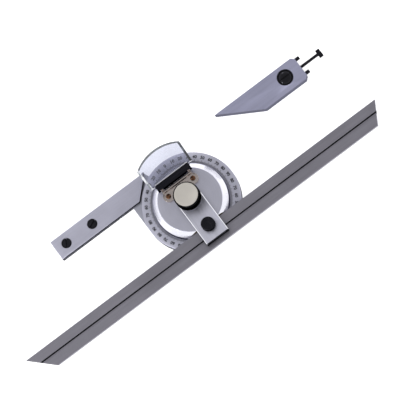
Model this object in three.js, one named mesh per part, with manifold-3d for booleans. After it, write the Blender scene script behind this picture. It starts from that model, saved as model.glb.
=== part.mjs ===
// A universal bevel protractor: a graduated base with a stock bar, a turret that turns on it and carries
// a long sliding blade and a flip-up magnifier, and beside it the small acute-angle attachment.
// Millimetres, +Z up. The origin is the pivot axis on the underside of the base, +X runs along the blade
// and +Y from the blade towards the magnifier.
import * as THREE from "three";
import { mergeVertices } from "three/addons/utils/BufferGeometryUtils.js";
import Module from "manifold-3d";

const wasm = await Module();
wasm.setup();

// ---------------------------------------------------------------- driving dimensions
const RUN = 0.05; // running gap between pieces that move on each other
const FIT = 0.06; // gap round a screw in its hole
const PRESS = 0.03; // gap round a pin pressed into its hole
const CLEAR = 0.1; // gap round a piece that passes through another without touching it
const LAP = 0.1; // overlap of two solids that are joined into one piece
const OVER = 1; // how far a cutting solid stands out of what it cuts
const ROUND = 72; // facets of a large circle
const SMALL_ROUND = 14; // facets of a screw

const DISC_R = 35.15; // graduated base
const PLATE_T = 3.0;
const RING_IN_R = 26.95;
const RING_OUT_R = 35.1;
const RING_TOP = 6.0;
const RING_CHAMFER = 0.4;
const RING_SCREW = { headR: 1.9, shankR: 1.0, top: 4.8, bottom: 0.1 };
const RING_SCREW_R = 31.0; // the circle that the ring's screws stand on
const RING_SCREW_DEG = [30, 150, 270];

const STOCK_LEFT = -95.6;
const STOCK_LOW = 22.3; // the edge towards the blade
const STOCK_HIGH = 37.5; // the working edge
const STOCK_TOP = 6.2;
const STOCK_END_GAP = 1.05; // from the disc's rim to the bar's 45 degree end
const STOCK_SCREW_X = [-86.7, -64.4];
const STOCK_SCREW = { headR: 3.7, shankR: 2.0, bottom: 0.8 };

const STUD_R = 4.0;
const STUD_FLANGE_R = 6.0;
const STUD_FLANGE_BOTTOM = 1.0;
const STUD_SHOULDER = 14.6;
const STUD_THREAD_R = 2.95;
const STUD_TOP = 26.0;
const THRUST_OUT_R = 12.0; // thrust washer round the stud, under the turret

const TURRET_BOTTOM = 3.55;
const TURRET_R = 26.6;
const TURRET_CONE_BOTTOM = 8.4;
const TURRET_LEDGE = 0.1; // step between the turret's wall and its cone
const TURRET_FLAT_R = 22.7;
const TURRET_TOP = 12.3;
const TURRET_BORE_R = 5.6;
const WAVE_IN_R = 13.0; // wave washer, in a groove under the turret
const WAVE_OUT_R = 17.0;
const WAVE_T = 0.4;
const WAVE_RISE = 0.35;
const WAVES = 3;
const WAVE_GAP = 0.4; // from the wave washer to the sides of its groove

const BLADE_LEFT = -156.6;
const BLADE_RIGHT = 143.4;
const BLADE_HIGH = -21.4; // long edge next to the turret
const BLADE_W = 16.4;
const BLADE_BOTTOM = 7.95;
const BLADE_TOP = 10.3;
const BLADE_END_DEG = [45, 60];
const GROOVE_W = 2.0;
const GROOVE_DEPTH = 1.0;
const GROOVE_Y = BLADE_HIGH - BLADE_W / 2;

const CHORD_Y = -20.9; // flat of the turret that the blade runs along
const SEAT_TOP = BLADE_BOTTOM - RUN;
const SEAT_HALF_W = 8.5;
const SEAT_END_Y = -35.0;
const SEAT_ROOT_Y = -24.6; // inside the turret's wall
const SEAT_BOTTOM = 6.5;

const ARM_HALF_W = 9.15;
const ARM_END_Y = -34.1;
const ARM_BACK_Y = 6.0;
const ARM_TOP = 14.9;
const ARM_NOSE_BOTTOM = 10.45; // underside over the blade
const ARM_CHAMFER = 0.5;
const ARM_BORE_R = 4.3;
const ARM_SCREW = { x: 6.4, y: 2.6, headR: 1.7, shankR: 0.9, bottom: 9.2 };
const GIB_HALF_L = 12.5;
const GIB_TOP = 10.4;

const SHOE_HALF_W = 5.2;
const SHOE_Y = [-32.2, -21.7];
const SHOE_BOTTOM = 10.4;
const SHOE_TOP = 11.7;
const SHOE_RIB_W = 1.8;
const SHOE_RIB_BOTTOM = 9.5;
const POCKET_GAP = 0.25; // round the shoe in the arm's nose
const CLAMP_Y = -23.4;
const CLAMP_THREAD_R = 2.2;
const CLAMP_HEAD_R = 4.9;
const CLAMP_HEAD_BOTTOM = 15.3;
const CLAMP_HEAD_TOP = 19.7;
const CLAMP_CHAMFER = 0.5;

const KNOB_R = 9.2;
const KNOB_NECK_R = 7.6;
const KNOB_BOTTOM = 16.0;
const KNOB_SKIRT = 18.0;
const KNOB_TOP = 28.0;
const KNOB_CAP_R = 8.3;
const KNOB_CAP_T = 0.8;
const KNOB_BORE_R = 3.15;
const BORE_REST = 0.5; // left above the stud in the knob's bore
const KNOB_CHAMFER = 0.5; // under the knob's edge
const KNOB_RIM = { width: 0.6, height: 0.9, drop: 0.1 }; // bevel round the cap, a little below its face
const LOCK_WASHER_R = [3.1, 8.4];

const VERNIER_IN_R = 22.95;
const VERNIER_HALF_DEG = 34;
const VERNIER_GAP_DEG = 0.5; // at each end of the plate in its recess
const VERNIER_BOTTOM = 5.0;
const VERNIER_SCREW = { headR: 1.1, shankR: 0.6, top: 5.95, bottom: 4.0 };
const VERNIER_SCREW_DEG = [118, 62];

const BRACKET_HALF_W = 14.4;
const BRACKET_Y = [6.5, 15.0];
const BRACKET_T = 1.5;
const LOBE = { r: 4, halfDeg: 60, root: 2.5 }; // round ends of the bracket, from a corner at root
const BRACKET_SCREW = { x: 10.5, y: 10.4, headR: 1.9, headT: 1.1, shankR: 0.95, depth: 4.5 };
const EAR_X = [10.5, 12.3];
const EAR_R = 1.6;
const HINGE_Y = 17.0;
const HINGE_Z = 19.9;
const HINGE_PIN_R = 0.8;
const HINGE_PIN_HALF_L = 13.7;
const RISER_TOP = 16.6;

const HOLDER_HALF_W = 14.1;
const HOLDER_HALF = 2.1; // half the section of the holder bar
const JAW_HALF_W = 13.6;
const JAW_END_Y = 20.3;
const JAW_STEP = 0.4; // from the bar's top down to the jaws
const NOTCH_GAP = 0.15; // round an ear in the holder's notch
const NOTCH_SIDE = 0.2; // at each side of an ear

const LENS_HALF_IN = 17.5; // at the holder
const LENS_HALF_OUT = 18.2; // at the far corners
const LENS_Y = [19.4, 36.1];
const LENS_CREST_Y = 42.1;
const LENS_BOTTOM = 18.7;
const LENS_EDGE_TOP = 20.8;
const LENS_TOP = 22.0;
const LENS_CENTRE_Y = 30.7;
const DOME_HALF = 18; // distance from the centre at which the dome has fallen to the edge's height
const DOME_REACH = 26; // past the farthest corner
const DOME_STEPS = 7;

const ATT_X = [48.9, 116.85]; // acute-angle attachment, lying loose beside the tool
const ATT_Y = [21.0, 39.8];
const ATT_BEVEL_X = 79.9;
const ATT_T = 6.0;
const ATT_CORNER = 2.3;
const CAM = { x: 103.7, y: 31.1, recessR: 5.95, recessFloor: 3.9, shoulderR: 5.6, domeR: 4.9, top: 6.6 };
const CAM_RING = { innerR: 5.05, bottom: 5.2 }; // retaining ring over the cam's shoulder
const CAM_DOME = [[4.9, 5.9], [4.1, 6.45], [2.9, 6.6]]; // radius and height, from the ring up
const CAM_SLOT = { halfW: 0.45, depth: 1.1, reach: 6 };
const CAM_STUB = { r: 0.7, offset: 0.9, bottom: 2.85, swing: 1.9, floor: 2.6 };
const BOLT = { r: 1.05, z: 2.8, left: 99.0, right: 134.5, headT: 3.0, headHalfW: 2.9, headHalfH: 1.5 };
const BOLT_BORE = { r: 1.2, left: 97.5 };
const BOLT_NOTCH = { half: 1.05, floor: 2.75 }; // across the shank, under the cam's stub
const PIN = { r: 1.3, z: 3.0, x: [111.5, 120.1], y: [25.3, 37.5] };

// ---------------------------------------------------------------- colours and finishes
const FINISH = {
  satinSteel: { color: 0xa2a2ae, roughness: 0.38, metalness: 1.0 },
  brightSteel: { color: 0xd8d8dc, roughness: 0.14, metalness: 1.0 },
  chromedScale: { color: 0x9c9caa, roughness: 0.45, metalness: 0.9 },
  bladeSteel: { color: 0x77757e, roughness: 0.42, metalness: 1.0 },
  blackOxide: { color: 0x222226, roughness: 0.45, metalness: 0.7 },
  bronze: { color: 0x9a6b3f, roughness: 0.35, metalness: 1.0 },
  springSteel: { color: 0x8a8a8e, roughness: 0.3, metalness: 1.0 },
  capSteel: { color: 0xb4afa6, roughness: 0.3, metalness: 1.0 },
  acrylic: { color: 0xf2f6f8, roughness: 0.05, metalness: 0.0, transparent: true, opacity: 0.35 },
};
const materials = Object.fromEntries(
  Object.entries(FINISH).map(([name, look]) => [name, new THREE.MeshStandardMaterial(look)]),
);

// ---------------------------------------------------------------- solids
const DEG = Math.PI / 180;

/** A closed three.js geometry as a solid that can be joined and cut. */
function solid(geometry) {
  const bare = geometry.clone();
  bare.deleteAttribute("normal");
  bare.deleteAttribute("uv");
  const merged = mergeVertices(bare, 1e-4);
  return new wasm.Manifold(
    new wasm.Mesh({
      numProp: 3,
      vertProperties: new Float32Array(merged.attributes.position.array),
      triVerts: new Uint32Array(merged.index.array),
    }),
  );
}

/** The solid back as a geometry for a mesh. */
function geometryOf(body) {
  const mesh = body.getMesh();
  return new THREE.BufferGeometry()
    .setAttribute("position", new THREE.BufferAttribute(new Float32Array(mesh.vertProperties), 3))
    .setIndex(new THREE.BufferAttribute(new Uint32Array(mesh.triVerts), 1));
}

/** A flat outline in plan, standing from z0 to z1. */
function slab(shape, z0, z1, curveSegments = ROUND / 4) {
  const options = { depth: z1 - z0, bevelEnabled: false, curveSegments };
  return solid(new THREE.ExtrudeGeometry(shape, options).translate(0, 0, z0));
}

/** An outline of plain corner points. */
function outline(points) {
  return new THREE.Shape(points.map(([x, y]) => new THREE.Vector2(x, y)));
}

/** A box from its lowest to its highest corner. */
function block([x0, y0, z0], [x1, y1, z1]) {
  const box = new THREE.BoxGeometry(x1 - x0, y1 - y0, z1 - z0);
  return solid(box.translate((x0 + x1) / 2, (y0 + y1) / 2, (z0 + z1) / 2));
}

/** A turned solid: profile points are [radius, height], up the outside, about a vertical axis at x, y. */
function turned(profile, { x = 0, y = 0, facets = ROUND } = {}) {
  const points = profile.map(([r, z]) => new THREE.Vector2(r, z));
  return solid(new THREE.LatheGeometry(points, facets).rotateX(Math.PI / 2).translate(x, y, 0));
}

/** A plain upright cylinder. */
function rod(r, z0, z1, place = {}) {
  return turned([[0, z0], [r, z0], [r, z1], [0, z1]], place);
}

/** A ring with a square section. */
function ring(inner, outer, z0, z1, place = {}) {
  return turned([[inner, z0], [outer, z0], [outer, z1], [inner, z1], [inner, z0]], place);
}

/** A cylinder lying along X. */
function bar(r, x0, x1, y, z, facets = SMALL_ROUND) {
  const cylinder = new THREE.CylinderGeometry(r, r, x1 - x0, facets);
  return solid(cylinder.rotateZ(Math.PI / 2).translate((x0 + x1) / 2, y, z));
}

/** A side outline of [y, z] points, standing along X from x0 to x1. */
function sideSlab(points, x0, x1) {
  const shape = outline(points);
  const geometry = new THREE.ExtrudeGeometry(shape, { depth: x1 - x0, bevelEnabled: false });
  // The outline's own axes turn onto Y and Z, and its depth onto X.
  const turn = new THREE.Matrix4().makeBasis(
    new THREE.Vector3(0, 1, 0), new THREE.Vector3(0, 0, 1), new THREE.Vector3(1, 0, 0));
  return solid(geometry.applyMatrix4(turn).translate(x0, 0, 0));
}

/** Points of an arc about the origin, both ends included. */
function arc(r, fromDeg, toDeg, steps, [cx, cy] = [0, 0]) {
  return Array.from({ length: steps + 1 }, (_, i) => {
    const a = (fromDeg + ((toDeg - fromDeg) * i) / steps) * DEG;
    return [cx + r * Math.cos(a), cy + r * Math.sin(a)];
  });
}

/** A sector of a ring in plan. */
function sector(inner, outer, fromDeg, toDeg, z0, z1, steps = 24) {
  const rim = arc(outer, fromDeg, toDeg, steps);
  return slab(outline([...rim, ...arc(inner, toDeg, fromDeg, steps)]), z0, z1);
}

const tool = new THREE.Group();

/** Adds one named piece to the tool. */
function piece(name, body, material) {
  const mesh = new THREE.Mesh(geometryOf(body), materials[material]);
  mesh.name = name;
  tool.add(mesh);
}

// ---------------------------------------------------------------- base: plate, ring, stock, pivot
// The plate is the disc with a web and a tongue under the stock bar, whose end is cut at 45 degrees.
const endDistance = DISC_R + STOCK_END_GAP;
const endOffset = endDistance * Math.SQRT2; // the cut is the line y - x = endOffset
const stockOutline = outline([
  [STOCK_LEFT, STOCK_LOW],
  [STOCK_LOW - endOffset, STOCK_LOW],
  [STOCK_HIGH - endOffset, STOCK_HIGH],
  [STOCK_LEFT, STOCK_HIGH],
]);
const tongueOutline = outline([
  [STOCK_LEFT, STOCK_LOW],
  [-DISC_R, STOCK_LOW],
  [-DISC_R, 0],
  [0, 0],
  [STOCK_HIGH - endOffset, STOCK_HIGH],
  [STOCK_LEFT, STOCK_HIGH],
]);
const stockScrews = STOCK_SCREW_X.map((x) => ({ x, y: (STOCK_LOW + STOCK_HIGH) / 2 }));
const ringScrews = RING_SCREW_DEG.map((deg) => ({
  x: RING_SCREW_R * Math.cos(deg * DEG),
  y: RING_SCREW_R * Math.sin(deg * DEG),
}));
const small = (place) => ({ ...place, facets: SMALL_ROUND });

/** A countersunk screw head up, or its hole when the gap is above 0. */
function countersunk(place, { headR, shankR, top, bottom }, gap = 0) {
  const neck = top - (headR - shankR);
  return turned(
    [[0, bottom - gap], [shankR + gap, bottom - gap], [shankR + gap, neck],
      [headR + gap, top], [headR + gap, top + gap], [0, top + gap]],
    small(place));
}

/** A countersunk screw head down, or its hole when the gap is above 0. */
function countersunkBelow(place, { headR, shankR, top, bottom }, gap = 0) {
  const neck = bottom + (headR - shankR);
  return turned(
    [[0, bottom - gap], [headR + gap, bottom - gap], [headR + gap, bottom],
      [shankR + gap, neck], [shankR + gap, top + gap], [0, top + gap]],
    small(place));
}

const stockScrew = { ...STOCK_SCREW, top: STOCK_TOP };

let plate = rod(DISC_R, 0, PLATE_T)
  .add(slab(tongueOutline, 0, PLATE_T))
  .subtract(rod(STUD_FLANGE_R + FIT, STUD_FLANGE_BOTTOM, PLATE_T + OVER));
let scaleRing = turned([
  [RING_IN_R, PLATE_T], [RING_OUT_R, PLATE_T], [RING_OUT_R, RING_TOP - RING_CHAMFER],
  [RING_OUT_R - RING_CHAMFER, RING_TOP], [RING_IN_R + RING_CHAMFER, RING_TOP],
  [RING_IN_R, RING_TOP - RING_CHAMFER], [RING_IN_R, PLATE_T]]);
let stockBar = slab(stockOutline, PLATE_T, STOCK_TOP);
for (const place of stockScrews) {
  plate = plate.subtract(countersunk(place, stockScrew, FIT));
  stockBar = stockBar.subtract(countersunk(place, stockScrew, FIT));
}
for (const place of ringScrews) {
  plate = plate.subtract(countersunkBelow(place, RING_SCREW, FIT));
  scaleRing = scaleRing.subtract(countersunkBelow(place, RING_SCREW, FIT));
}
piece("base_plate", plate, "satinSteel");
piece("scale_ring", scaleRing, "chromedScale");
piece("stock_bar", stockBar, "satinSteel");
stockScrews.forEach((place, i) =>
  piece(`stock_screw_${i + 1}`, countersunk(place, stockScrew), "blackOxide"));
ringScrews.forEach((place, i) =>
  piece(`ring_screw_${i + 1}`, countersunkBelow(place, RING_SCREW), "blackOxide"));
piece("pivot_stud", turned([
  [0, STUD_FLANGE_BOTTOM], [STUD_FLANGE_R, STUD_FLANGE_BOTTOM], [STUD_FLANGE_R, PLATE_T],
  [STUD_R, PLATE_T], [STUD_R, STUD_SHOULDER], [STUD_THREAD_R, STUD_SHOULDER],
  [STUD_THREAD_R, STUD_TOP], [0, STUD_TOP]], { facets: ROUND / 2 }), "brightSteel");
piece("thrust_washer",
  ring(STUD_R + CLEAR, THRUST_OUT_R, PLATE_T, TURRET_BOTTOM - RUN, { facets: ROUND / 2 }), "bronze");

// The wave washer is a thin ring whose height runs up and down round the circle.
const wave = new THREE.LatheGeometry(
  [[WAVE_IN_R, 0], [WAVE_OUT_R, 0], [WAVE_OUT_R, WAVE_T], [WAVE_IN_R, WAVE_T], [WAVE_IN_R, 0]]
    .map(([r, z]) => new THREE.Vector2(r, z)), ROUND / 2).rotateX(Math.PI / 2);
const wavePoints = wave.attributes.position;
const waveMiddle = PLATE_T + RUN + WAVE_RISE;
for (let i = 0; i < wavePoints.count; i++) {
  const angle = Math.atan2(wavePoints.getY(i), wavePoints.getX(i));
  wavePoints.setZ(i, wavePoints.getZ(i) + waveMiddle + WAVE_RISE * Math.sin(WAVES * angle));
}
piece("wave_washer", solid(wave), "springSteel");

// ---------------------------------------------------------------- turret and what is fixed to it
const waveRoof = waveMiddle + WAVE_RISE + WAVE_T + CLEAR;
const armScrews = [-1, 1].map((side) => ({ x: side * ARM_SCREW.x, y: ARM_SCREW.y }));
const armScrew = { ...ARM_SCREW, top: ARM_TOP };
const bracketScrewEnd = TURRET_TOP - BRACKET_SCREW.depth;
const bracketScrews = [-1, 1].map((side) => ({ x: side * BRACKET_SCREW.x, y: BRACKET_SCREW.y }));
const vernierScrews = VERNIER_SCREW_DEG.map((deg) => ({
  x: ((VERNIER_IN_R + TURRET_R) / 2) * Math.cos(deg * DEG),
  y: ((VERNIER_IN_R + TURRET_R) / 2) * Math.sin(deg * DEG),
}));

const recessHalfDeg = VERNIER_HALF_DEG + VERNIER_GAP_DEG;
let turret = turned([
  [TURRET_BORE_R, TURRET_BOTTOM], [TURRET_R, TURRET_BOTTOM], [TURRET_R, TURRET_CONE_BOTTOM],
  [TURRET_R - TURRET_LEDGE, TURRET_CONE_BOTTOM], [TURRET_FLAT_R, TURRET_TOP],
  [TURRET_BORE_R, TURRET_TOP], [TURRET_BORE_R, TURRET_BOTTOM]]);
// The seat is the tongue that the blade slides on, over the ring.
turret = turret
  .subtract(block([-TURRET_R, -TURRET_R - OVER, SEAT_TOP], [TURRET_R, CHORD_Y, TURRET_TOP + OVER]))
  .add(block([-SEAT_HALF_W, SEAT_END_Y, SEAT_BOTTOM], [SEAT_HALF_W, SEAT_ROOT_Y, SEAT_TOP]))
  .subtract(ring(WAVE_IN_R - WAVE_GAP, WAVE_OUT_R + WAVE_GAP, TURRET_BOTTOM - OVER, waveRoof))
  .subtract(sector(VERNIER_IN_R - CLEAR, TURRET_R + OVER, 90 - recessHalfDeg, 90 + recessHalfDeg,
    VERNIER_BOTTOM, TURRET_TOP + OVER));
for (const place of armScrews) turret = turret.subtract(countersunk(place, armScrew, FIT));
for (const place of vernierScrews) turret = turret.subtract(countersunk(place, VERNIER_SCREW, FIT));
for (const place of bracketScrews) {
  turret = turret.subtract(
    rod(BRACKET_SCREW.shankR + FIT, bracketScrewEnd - FIT, TURRET_TOP + OVER, small(place)));
}
piece("turret", turret, "brightSteel");
piece("turret_bush",
  ring(STUD_R + RUN, TURRET_BORE_R - RUN, TURRET_BOTTOM, TURRET_TOP, { facets: ROUND / 2 }), "bronze");

let vernier = sector(VERNIER_IN_R, TURRET_R, 90 - VERNIER_HALF_DEG, 90 + VERNIER_HALF_DEG,
  VERNIER_BOTTOM, RING_TOP);
for (const place of vernierScrews) vernier = vernier.subtract(countersunk(place, VERNIER_SCREW, FIT));
piece("vernier_plate", vernier, "chromedScale");
vernierScrews.forEach((place, i) =>
  piece(`vernier_screw_${i + 1}`, countersunk(place, VERNIER_SCREW), "blackOxide"));

// The gib is a thin bronze strip between the turret's flat and the blade's long edge.
piece("gib_strip",
  block([-GIB_HALF_L, BLADE_HIGH + RUN, SEAT_TOP + RUN],
    [GIB_HALF_L, CHORD_Y - RUN, GIB_TOP]), "bronze");

// The arm lies on the turret, and its nose steps down over the blade with a pocket for the shoe.
const armSide = [
  [ARM_END_Y, ARM_NOSE_BOTTOM], [CHORD_Y - 2 * RUN, ARM_NOSE_BOTTOM], [CHORD_Y - 2 * RUN, TURRET_TOP],
  [ARM_BACK_Y, TURRET_TOP], [ARM_BACK_Y, ARM_TOP], [ARM_END_Y + ARM_CHAMFER, ARM_TOP],
  [ARM_END_Y, ARM_TOP - ARM_CHAMFER]];
const clampPlace = { y: CLAMP_Y, facets: ROUND / 3 };
let arm = sideSlab(armSide, -ARM_HALF_W, ARM_HALF_W);
for (const side of [-1, 1]) {
  // The long top edges are chamfered: a three-cornered bar takes each one off.
  const edge = outline([
    [side * (ARM_HALF_W - ARM_CHAMFER), ARM_TOP],
    [side * ARM_HALF_W, ARM_TOP - ARM_CHAMFER],
    [side * (ARM_HALF_W + ARM_CHAMFER), ARM_TOP + ARM_CHAMFER]]);
  const length = ARM_BACK_Y - ARM_END_Y + 2 * OVER;
  const cutter = new THREE.ExtrudeGeometry(edge, { depth: length, bevelEnabled: false });
  arm = arm.subtract(solid(cutter.rotateX(Math.PI / 2).translate(0, ARM_BACK_Y + OVER, 0)));
}
arm = arm
  .subtract(rod(ARM_BORE_R, TURRET_TOP - OVER, ARM_TOP + OVER, { facets: ROUND / 2 }))
  .subtract(block([-SHOE_HALF_W - POCKET_GAP, SHOE_Y[0] - POCKET_GAP, ARM_NOSE_BOTTOM - OVER],
    [SHOE_HALF_W + POCKET_GAP, SHOE_Y[1] + POCKET_GAP, TURRET_TOP]))
  .subtract(rod(CLAMP_THREAD_R + CLEAR, ARM_NOSE_BOTTOM, ARM_TOP + OVER, clampPlace));
for (const place of armScrews) arm = arm.subtract(countersunk(place, armScrew, FIT));
piece("blade_arm", arm, "satinSteel");
armScrews.forEach((place, i) => piece(`arm_screw_${i + 1}`, countersunk(place, armScrew), "blackOxide"));

// ---------------------------------------------------------------- blade and its clamp
const [leftRun, rightRun] = BLADE_END_DEG.map((deg) => BLADE_W / Math.tan(deg * DEG));
const blade = slab(outline([
  [BLADE_LEFT, BLADE_HIGH], [BLADE_LEFT + leftRun, BLADE_HIGH - BLADE_W],
  [BLADE_RIGHT - rightRun, BLADE_HIGH - BLADE_W], [BLADE_RIGHT, BLADE_HIGH]]),
BLADE_BOTTOM, BLADE_TOP)
  .subtract(block([BLADE_LEFT - OVER, GROOVE_Y - GROOVE_W / 2, BLADE_TOP - GROOVE_DEPTH],
    [BLADE_RIGHT + OVER, GROOVE_Y + GROOVE_W / 2, BLADE_TOP + OVER]));
piece("blade", blade, "bladeSteel");

const shoe = block([-SHOE_HALF_W, SHOE_Y[0], SHOE_BOTTOM], [SHOE_HALF_W, SHOE_Y[1], SHOE_TOP])
  .add(block([-SHOE_HALF_W, GROOVE_Y - SHOE_RIB_W / 2, SHOE_RIB_BOTTOM],
    [SHOE_HALF_W, GROOVE_Y + SHOE_RIB_W / 2, SHOE_BOTTOM + LAP]));
piece("clamp_shoe", shoe, "bronze");
piece("clamp_screw", turned([
  [0, SHOE_TOP], [CLAMP_THREAD_R, SHOE_TOP], [CLAMP_THREAD_R, CLAMP_HEAD_BOTTOM],
  [CLAMP_HEAD_R - CLAMP_CHAMFER, CLAMP_HEAD_BOTTOM], [CLAMP_HEAD_R, CLAMP_HEAD_BOTTOM + CLAMP_CHAMFER],
  [CLAMP_HEAD_R, CLAMP_HEAD_TOP - CLAMP_CHAMFER], [CLAMP_HEAD_R - CLAMP_CHAMFER, CLAMP_HEAD_TOP],
  [0, CLAMP_HEAD_TOP]], clampPlace), "blackOxide");

// ---------------------------------------------------------------- lock knob on the pivot stud
piece("lock_washer",
  ring(...LOCK_WASHER_R, ARM_TOP + RUN, KNOB_BOTTOM - RUN, { facets: ROUND / 2 }),
  "springSteel");
const capSeat = KNOB_TOP - KNOB_CAP_T;
const rimTop = KNOB_TOP - KNOB_RIM.drop;
const boreTop = STUD_TOP + BORE_REST;
piece("lock_knob", turned([
  [KNOB_BORE_R, KNOB_BOTTOM], [KNOB_NECK_R, KNOB_BOTTOM], [KNOB_NECK_R, KNOB_SKIRT],
  [KNOB_R - KNOB_CHAMFER, KNOB_SKIRT], [KNOB_R, KNOB_SKIRT + KNOB_CHAMFER],
  [KNOB_R, rimTop - KNOB_RIM.height], [KNOB_R - KNOB_RIM.width, rimTop],
  [KNOB_CAP_R + RUN, rimTop], [KNOB_CAP_R + RUN, capSeat], [0, capSeat], [0, boreTop],
  [KNOB_BORE_R, boreTop], [KNOB_BORE_R, KNOB_BOTTOM]], { facets: ROUND / 2 }), "blackOxide");
piece("knob_cap", rod(KNOB_CAP_R, capSeat, KNOB_TOP, { facets: ROUND / 2 }), "capSteel");

// ---------------------------------------------------------------- magnifier bracket, holder and lens
const earSide = [
  [BRACKET_Y[1] - BRACKET_T, TURRET_TOP], [BRACKET_Y[1], TURRET_TOP], [HINGE_Y + EAR_R, RISER_TOP],
  ...arc(EAR_R, 0, 180, 10, [HINGE_Y, HINGE_Z]),
  [HINGE_Y - EAR_R, RISER_TOP], [BRACKET_Y[1] - BRACKET_T, RISER_TOP]];
const flangeRoot = BRACKET_HALF_W - LOBE.root;
const flangeOutline = outline([
  [-flangeRoot, BRACKET_Y[0]], [flangeRoot, BRACKET_Y[0]],
  ...arc(LOBE.r, -LOBE.halfDeg, LOBE.halfDeg, 8, [BRACKET_HALF_W - LOBE.r, BRACKET_SCREW.y]),
  [flangeRoot, BRACKET_Y[1]], [-flangeRoot, BRACKET_Y[1]],
  ...arc(LOBE.r, 180 - LOBE.halfDeg, 180 + LOBE.halfDeg, 8, [LOBE.r - BRACKET_HALF_W, BRACKET_SCREW.y])]);
let bracket = slab(flangeOutline, TURRET_TOP, TURRET_TOP + BRACKET_T)
  .add(block([-EAR_X[1], BRACKET_Y[1] - BRACKET_T, TURRET_TOP], [EAR_X[1], BRACKET_Y[1], RISER_TOP]));
for (const [x0, x1] of [[-EAR_X[1], -EAR_X[0]], EAR_X]) bracket = bracket.add(sideSlab(earSide, x0, x1));
bracket = bracket.subtract(bar(HINGE_PIN_R + CLEAR, -HOLDER_HALF_W, HOLDER_HALF_W, HINGE_Y, HINGE_Z));
const headSeat = TURRET_TOP + BRACKET_T;
for (const place of bracketScrews) {
  bracket = bracket.subtract(
    rod(BRACKET_SCREW.shankR + FIT, TURRET_TOP - OVER, headSeat + OVER, small(place)));
}
piece("magnifier_bracket", bracket, "springSteel");
bracketScrews.forEach((place, i) => piece(`bracket_screw_${i + 1}`, turned([
  [0, bracketScrewEnd], [BRACKET_SCREW.shankR, bracketScrewEnd],
  [BRACKET_SCREW.shankR, headSeat], [BRACKET_SCREW.headR, headSeat],
  [BRACKET_SCREW.headR, headSeat + BRACKET_SCREW.headT], [0, headSeat + BRACKET_SCREW.headT]],
small(place)), "bronze"));

// The holder is a black bar on the hinge pin, notched for the bracket's ears, with two jaws on the lens.
const notch = EAR_R + NOTCH_GAP;
const notchBack = HINGE_Y - HOLDER_HALF - OVER;
const notchLow = HINGE_Z - HOLDER_HALF - OVER;
const notchSide = [
  ...arc(notch, 0, 90, 6, [HINGE_Y, HINGE_Z]),
  [notchBack, HINGE_Z + notch], [notchBack, notchLow], [HINGE_Y + notch, notchLow]];
let holder = block(
  [-HOLDER_HALF_W, HINGE_Y - HOLDER_HALF, HINGE_Z - HOLDER_HALF],
  [HOLDER_HALF_W, HINGE_Y + HOLDER_HALF, HINGE_Z + HOLDER_HALF])
  .add(block([-JAW_HALF_W, HINGE_Y + HOLDER_HALF - LAP, HINGE_Z - HOLDER_HALF],
    [JAW_HALF_W, JAW_END_Y, HINGE_Z + HOLDER_HALF - JAW_STEP]))
  .subtract(block([-HOLDER_HALF_W - OVER, LENS_Y[0] - RUN, LENS_BOTTOM - RUN],
    [HOLDER_HALF_W + OVER, JAW_END_Y + OVER, LENS_EDGE_TOP + RUN]));
for (const [x0, x1] of [[-EAR_X[1], -EAR_X[0]], EAR_X]) {
  holder = holder.subtract(sideSlab(notchSide, x0 - NOTCH_SIDE, x1 + NOTCH_SIDE));
}
holder = holder.subtract(
  bar(HINGE_PIN_R + PRESS, -HOLDER_HALF_W - OVER, HOLDER_HALF_W + OVER, HINGE_Y, HINGE_Z));
piece("lens_holder", holder, "blackOxide");
piece("hinge_pin",
  bar(HINGE_PIN_R, -HINGE_PIN_HALF_L, HINGE_PIN_HALF_L, HINGE_Y, HINGE_Z), "brightSteel");

// The lens is a plate with a domed top, straight at the holder and round at the far side.
const sag = LENS_CREST_Y - LENS_Y[1];
const lensR = (LENS_HALF_OUT ** 2 + sag ** 2) / (2 * sag);
const lensHalfDeg = Math.asin(LENS_HALF_OUT / lensR) / DEG;
const lensOutline = outline([
  [-LENS_HALF_IN, LENS_Y[0]], [LENS_HALF_IN, LENS_Y[0]],
  ...arc(lensR, 90 - lensHalfDeg, 90 + lensHalfDeg, 20, [0, LENS_CREST_Y - lensR])]);
const domeR = DOME_HALF ** 2 / (2 * (LENS_TOP - LENS_EDGE_TOP));
const domeProfile = Array.from({ length: DOME_STEPS + 1 }, (_, i) => {
  const r = DOME_REACH * (1 - i / DOME_STEPS);
  return [r, LENS_TOP - domeR + Math.sqrt(domeR ** 2 - r ** 2)];
});
const domeLow = LENS_BOTTOM - OVER;
const lens = slab(lensOutline, LENS_BOTTOM, LENS_TOP + OVER)
  .intersect(turned([[0, domeLow], [DOME_REACH, domeLow], ...domeProfile],
    { y: LENS_CENTRE_Y, facets: ROUND / 3 }))
  .subtract(block([-LENS_HALF_OUT, LENS_Y[0] - OVER, LENS_EDGE_TOP],
    [LENS_HALF_OUT, JAW_END_Y + CLEAR, LENS_TOP + OVER]));
piece("lens", lens, "acrylic");

// ---------------------------------------------------------------- acute-angle attachment
const attOutline = outline([
  [ATT_X[0], ATT_Y[1]], [ATT_BEVEL_X, ATT_Y[0]], [ATT_X[1] - ATT_CORNER, ATT_Y[0]],
  [ATT_X[1], ATT_Y[0] + ATT_CORNER], [ATT_X[1], ATT_Y[1] - ATT_CORNER], [ATT_X[1] - ATT_CORNER, ATT_Y[1]]]);
const camPlace = { x: CAM.x, y: CAM.y, facets: ROUND / 3 };
let attachment = slab(attOutline, 0, ATT_T)
  .subtract(rod(CAM.recessR, CAM.recessFloor, ATT_T + OVER, camPlace))
  .subtract(rod(CAM_STUB.swing, CAM_STUB.floor, CAM.recessFloor + LAP, camPlace))
  .subtract(bar(BOLT_BORE.r, BOLT_BORE.left, ATT_X[1] + OVER, CAM.y, BOLT.z));
for (const y of PIN.y) {
  attachment = attachment.subtract(bar(PIN.r + PRESS, PIN.x[0] - CLEAR, ATT_X[1] + OVER, y, PIN.z));
}
piece("attachment_plate", attachment, "satinSteel");
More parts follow.
